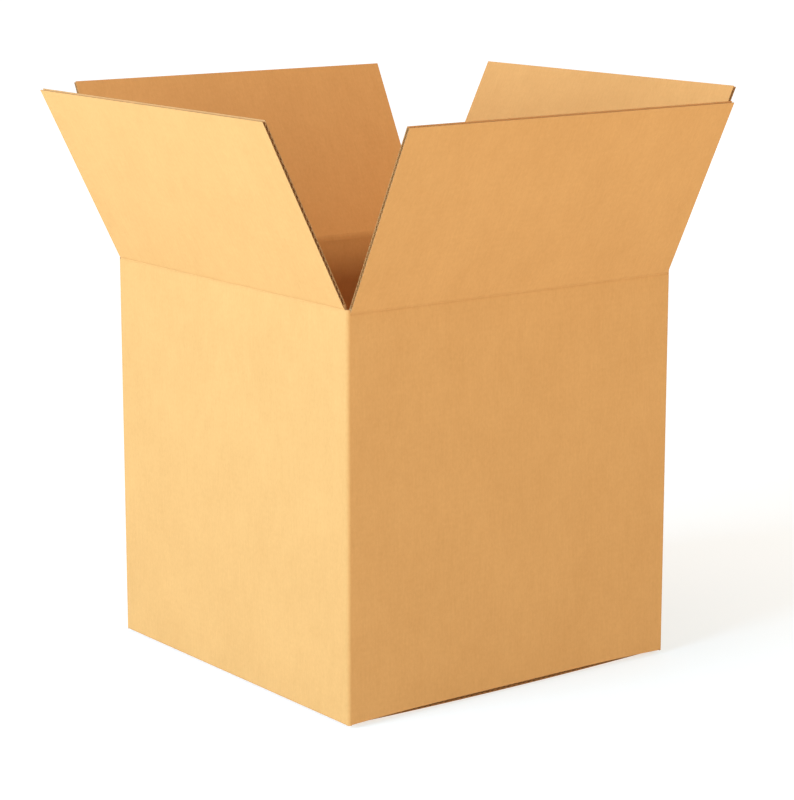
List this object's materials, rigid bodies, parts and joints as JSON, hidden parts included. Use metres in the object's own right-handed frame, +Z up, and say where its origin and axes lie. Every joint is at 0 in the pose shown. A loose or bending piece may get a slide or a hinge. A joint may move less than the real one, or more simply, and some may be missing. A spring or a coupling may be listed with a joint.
{
  "type": "open corrugated cardboard box",
  "caption": "Regular slotted carton of brown corrugated board, set up with its bottom closed and its four hinged top flaps standing open.",
  "frame": {"origin": "on the ground, under the middle of the box", "axes": "+Z up, -Y towards the front wall, +X towards the right wall, seen from the front"},
  "size_m": [0.6698, 0.6698, 0.6729],
  "materials": {
    "kraft_board": "matt brown kraft paper"
  },
  "bodies": {
    "carton": {"carton_body": "kraft_board"},
    "flap_front": {"flap_front": "kraft_board"},
    "flap_back": {"flap_back": "kraft_board"},
    "flap_right": {"flap_right": "kraft_board"},
    "flap_left": {"flap_left": "kraft_board"}
  },
  "joints": [
    {"name": "flap_front_fold", "type": "hinge", "parent": "carton", "child": "flap_front", "pos_m": [0, -0.2305, 0.46185], "axis": [1, 0, 0], "range_deg": [-116.5, 108.5]},
    {"name": "flap_back_fold", "type": "hinge", "parent": "carton", "child": "flap_back", "pos_m": [0, 0.2305, 0.46185], "axis": [-1, 0, 0], "range_deg": [-116.5, 108.5]},
    {"name": "flap_right_fold", "type": "hinge", "parent": "carton", "child": "flap_right", "pos_m": [0.2305, 0, 0.46615], "axis": [0, 1, 0], "range_deg": [-116.5, 108.5]},
    {"name": "flap_left_fold", "type": "hinge", "parent": "carton", "child": "flap_left", "pos_m": [-0.2305, 0, 0.46615], "axis": [0, -1, 0], "range_deg": [-116.5, 108.5]}
  ]
}
